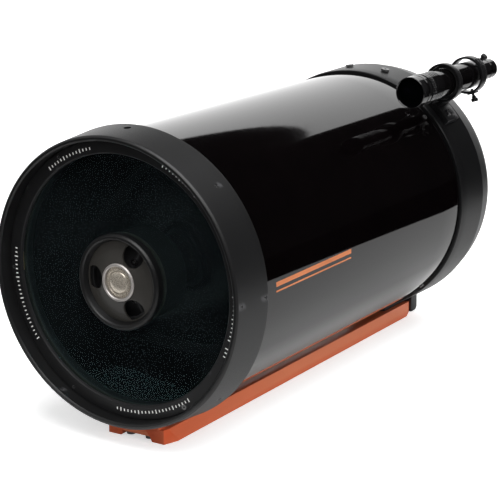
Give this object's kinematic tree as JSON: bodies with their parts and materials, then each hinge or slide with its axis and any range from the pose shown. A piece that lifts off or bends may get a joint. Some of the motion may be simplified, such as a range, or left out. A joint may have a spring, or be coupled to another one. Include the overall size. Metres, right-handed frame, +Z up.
{
  "type": "schmidt-cassegrain telescope",
  "caption": "Compact catadioptric telescope tube with glass corrector, sliding primary mirror, tilting secondary, aimable finder and an orange dovetail bar.",
  "frame": {"origin": "middle of the dovetail bar, on the plane its two rails rest on", "axes": "+Z up, +Y along the optical axis from the front opening to the eyepiece end, +X towards the finder side"},
  "size_m": [0.2806, 0.568, 0.315],
  "materials": {
    "cell_paint": "satin black crinkle paint",
    "tube_paint": "gloss black enamel",
    "ring_paint": "satin black paint",
    "bar_anodised": "matt orange anodised",
    "black_anodised": "satin black anodised",
    "baffle_black": "dead-flat black paint",
    "finder_black": "gloss black anodised",
    "cast_aluminium": "as-cast and machined",
    "screw_black": "black oxide",
    "screw_steel": "plain stainless steel",
    "silver_ring": "polished",
    "cap_cream": "smooth",
    "brass": "turned",
    "rubber_grip": "ribbed rubber",
    "gasket": "thin gasket sheet",
    "cork": "cork sheet",
    "corrector_glass": "coated optical glass",
    "finder_glass": "coated optical glass",
    "mirror_coat": "polished aluminium coating",
    "knob_plastic": "moulded black"
  },
  "bodies": {
    "tube_assembly": {"front_cell": "cell_paint", "corrector_retaining_ring": "ring_paint", "retaining_ring_screws": "screw_black", "corrector_plate": "corrector_glass", "corrector_gaskets": "gasket", "corrector_edge_shims": "cork", "front_tube_screws": "screw_black", "front_cell_grub_screws": "screw_black", "lip_grub_screws": "screw_black", "optical_tube": "tube_paint", "rear_cell": "cell_paint", "rear_tube_screws": "screw_black", "rear_plug_screws": "screw_black", "primary_baffle_tube": "baffle_black", "baffle_lock_ring": "black_anodised", "focus_thrust_bearing": "screw_steel", "focus_retainer_plate": "black_anodised", "focus_plate_screws": "screw_steel", "secondary_housing": "cell_paint", "secondary_gaskets": "gasket", "secondary_baffle_cup": "baffle_black", "secondary_cover": "ring_paint", "secondary_cap_ring": "silver_ring", "secondary_cap": "cap_cream", "dovetail_bar": "bar_anodised", "dovetail_front_block": "bar_anodised", "dovetail_bolts": "screw_black", "finder_bracket": "finder_black", "finder_bracket_screws": "screw_steel"},
    "focus_spindle": {"focus_screw": "screw_steel", "focus_knob_core": "knob_plastic", "focus_knob_grip": "rubber_grip"},
    "primary_cell": {"mirror_carrier": "cast_aluminium", "primary_mirror": "mirror_coat", "mirror_cork_ring": "cork", "mirror_clamp_ring": "black_anodised", "focus_nut": "brass"},
    "secondary_ball": {"secondary_pivot": "screw_steel"},
    "secondary_cell": {"secondary_plate": "cast_aluminium", "secondary_mirror": "mirror_coat"},
    "collimator_1": {"collimation_screw_1": "screw_steel"},
    "collimator_2": {"collimation_screw_2": "screw_steel"},
    "collimator_3": {"collimation_screw_3": "screw_steel"},
    "eyepiece_socket_body": {"visual_back": "black_anodised"},
    "socket_ring": {"visual_back_slip_ring": "black_anodised"},
    "socket_screw_shank": {"visual_back_screw_shank": "screw_steel"},
    "socket_screw_head": {"visual_back_screw_knob": "knob_plastic"},
    "finder_gimbal": {"finder_o_ring": "rubber_grip"},
    "finder_tube": {"finder_barrel": "finder_black", "finder_eyepiece": "finder_black", "finder_reticle": "screw_black"},
    "finder_lens": {"finder_objective_lens": "finder_glass"},
    "finder_focus_cell": {"finder_objective_cell": "finder_black"},
    "finder_lock": {"finder_lock_ring": "finder_black"},
    "finder_shank_1": {"finder_screw_1_shank": "screw_steel"},
    "finder_head_1": {"finder_screw_1_knob": "knob_plastic"},
    "finder_shank_2": {"finder_screw_2_shank": "screw_steel"},
    "finder_head_2": {"finder_screw_2_knob": "knob_plastic"},
    "finder_shank_3": {"finder_screw_3_shank": "screw_steel"},
    "finder_head_3": {"finder_screw_3_knob": "knob_plastic"}
  },
  "joints": [
    {"name": "primary_focus_travel", "type": "slide", "parent": "tube_assembly", "child": "primary_cell", "axis": [0, 1, 0], "range_m": [-0.0075, 0.0075]},
    {"name": "focus_knob_turn", "type": "hinge", "parent": "tube_assembly", "child": "focus_spindle", "pos_m": [-0.0733, 0.255, 0.13032], "axis": [0, 1, 0], "range_deg": [-3610, 3610]},
    {"name": "secondary_tip", "type": "hinge", "parent": "tube_assembly", "child": "secondary_ball", "pos_m": [0, -0.2418, 0.157], "axis": [1, 0, 0], "range_deg": [-1, 1]},
    {"name": "secondary_tilt", "type": "hinge", "parent": "secondary_ball", "child": "secondary_cell", "pos_m": [0, -0.2418, 0.157], "axis": [0, 0, 1], "range_deg": [-1, 1]},
    {"name": "collimation_turn_1", "type": "hinge", "parent": "tube_assembly", "child": "collimator_1", "pos_m": [0.0105, -0.2496, 0.17519], "axis": [0, -1, 0], "range_deg": [-180, 180]},
    {"name": "collimation_turn_2", "type": "hinge", "parent": "tube_assembly", "child": "collimator_2", "pos_m": [0.0105, -0.2496, 0.13881], "axis": [0, -1, 0], "range_deg": [-180, 180]},
    {"name": "collimation_turn_3", "type": "hinge", "parent": "tube_assembly", "child": "collimator_3", "pos_m": [-0.021, -0.2496, 0.157], "axis": [0, -1, 0], "range_deg": [-180, 180]},
    {"name": "socket_rotation", "type": "hinge", "parent": "tube_assembly", "child": "eyepiece_socket_body", "pos_m": [0, 0.277, 0.157], "axis": [0, 1, 0], "continuous": true},
    {"name": "socket_ring_turn", "type": "hinge", "parent": "tube_assembly", "child": "socket_ring", "pos_m": [0, 0.272, 0.157], "axis": [0, 1, 0], "range_deg": [-180, 360]},
    {"name": "socket_screw_travel", "type": "slide", "parent": "eyepiece_socket_body", "child": "socket_screw_shank", "axis": [0.866, 0, 0.5], "range_m": [-0.0009, 0.0014]},
    {"name": "socket_screw_turn", "type": "hinge", "parent": "socket_screw_shank", "child": "socket_screw_head", "pos_m": [0.01732, 0.287, 0.167], "axis": [0.866, 0, 0.5], "range_deg": [-500, 730]},
    {"name": "finder_pitch", "type": "hinge", "parent": "tube_assembly", "child": "finder_gimbal", "pos_m": [0.11851, 0.146, 0.29048], "axis": [1, 0, 0], "range_deg": [-0.6, 0.6]},
    {"name": "finder_yaw", "type": "hinge", "parent": "finder_gimbal", "child": "finder_tube", "pos_m": [0.11851, 0.146, 0.29048], "axis": [0, 0, 1], "range_deg": [-0.6, 0.6]},
    {"name": "finder_focus_travel", "type": "slide", "parent": "finder_tube", "child": "finder_lens", "axis": [0, -1, 0], "range_m": [-0.002, 0.002]},
    {"name": "finder_focus_turn", "type": "hinge", "parent": "finder_lens", "child": "finder_focus_cell", "pos_m": [0.11851, 0.08, 0.29048], "axis": [0, -1, 0], "range_deg": [-1450, 1450]},
    {"name": "finder_lock_turn", "type": "hinge", "parent": "finder_tube", "child": "finder_lock", "pos_m": [0.11851, 0.0952, 0.29048], "axis": [0, -1, 0], "range_deg": [-360, 360]},
    {"name": "finder_screw_1_travel", "type": "slide", "parent": "tube_assembly", "child": "finder_shank_1", "axis": [0.6639, 0, 0.7478], "range_m": [0, 0.002]},
    {"name": "finder_screw_1_turn", "type": "hinge", "parent": "finder_shank_1", "child": "finder_head_1", "pos_m": [0.13405, 0.2035, 0.30798], "axis": [0.6639, 0, 0.7478], "range_deg": [-5, 1450]},
    {"name": "finder_screw_2_travel", "type": "slide", "parent": "tube_assembly", "child": "finder_shank_2", "axis": [0.3156, 0, -0.9489], "range_m": [0, 0.002]},
    {"name": "finder_screw_2_turn", "type": "hinge", "parent": "finder_shank_2", "child": "finder_head_2", "pos_m": [0.1259, 0.2035, 0.26828], "axis": [0.3156, 0, -0.9489], "range_deg": [-5, 1450]},
    {"name": "finder_screw_3_travel", "type": "slide", "parent": "tube_assembly", "child": "finder_shank_3", "axis": [-0.9796, 0, 0.2011], "range_m": [0, 0.002]},
    {"name": "finder_screw_3_turn", "type": "hinge", "parent": "finder_shank_3", "child": "finder_head_3", "pos_m": [0.09559, 0.2035, 0.29519], "axis": [-0.9796, 0, 0.2011], "range_deg": [-5, 1450]}
  ],
  "couplings": [
    {"joint": "focus_knob_turn", "follows": "primary_focus_travel", "rad_per_m": -8377.6},
    {"joint": "socket_screw_turn", "follows": "socket_screw_travel", "rad_per_m": 8976},
    {"joint": "finder_focus_turn", "follows": "finder_focus_travel", "rad_per_m": 12566},
    {"joint": "finder_screw_1_turn", "follows": "finder_screw_1_travel", "rad_per_m": 12566},
    {"joint": "finder_screw_2_turn", "follows": "finder_screw_2_travel", "rad_per_m": 12566},
    {"joint": "finder_screw_3_turn", "follows": "finder_screw_3_travel", "rad_per_m": 12566}
  ]
}
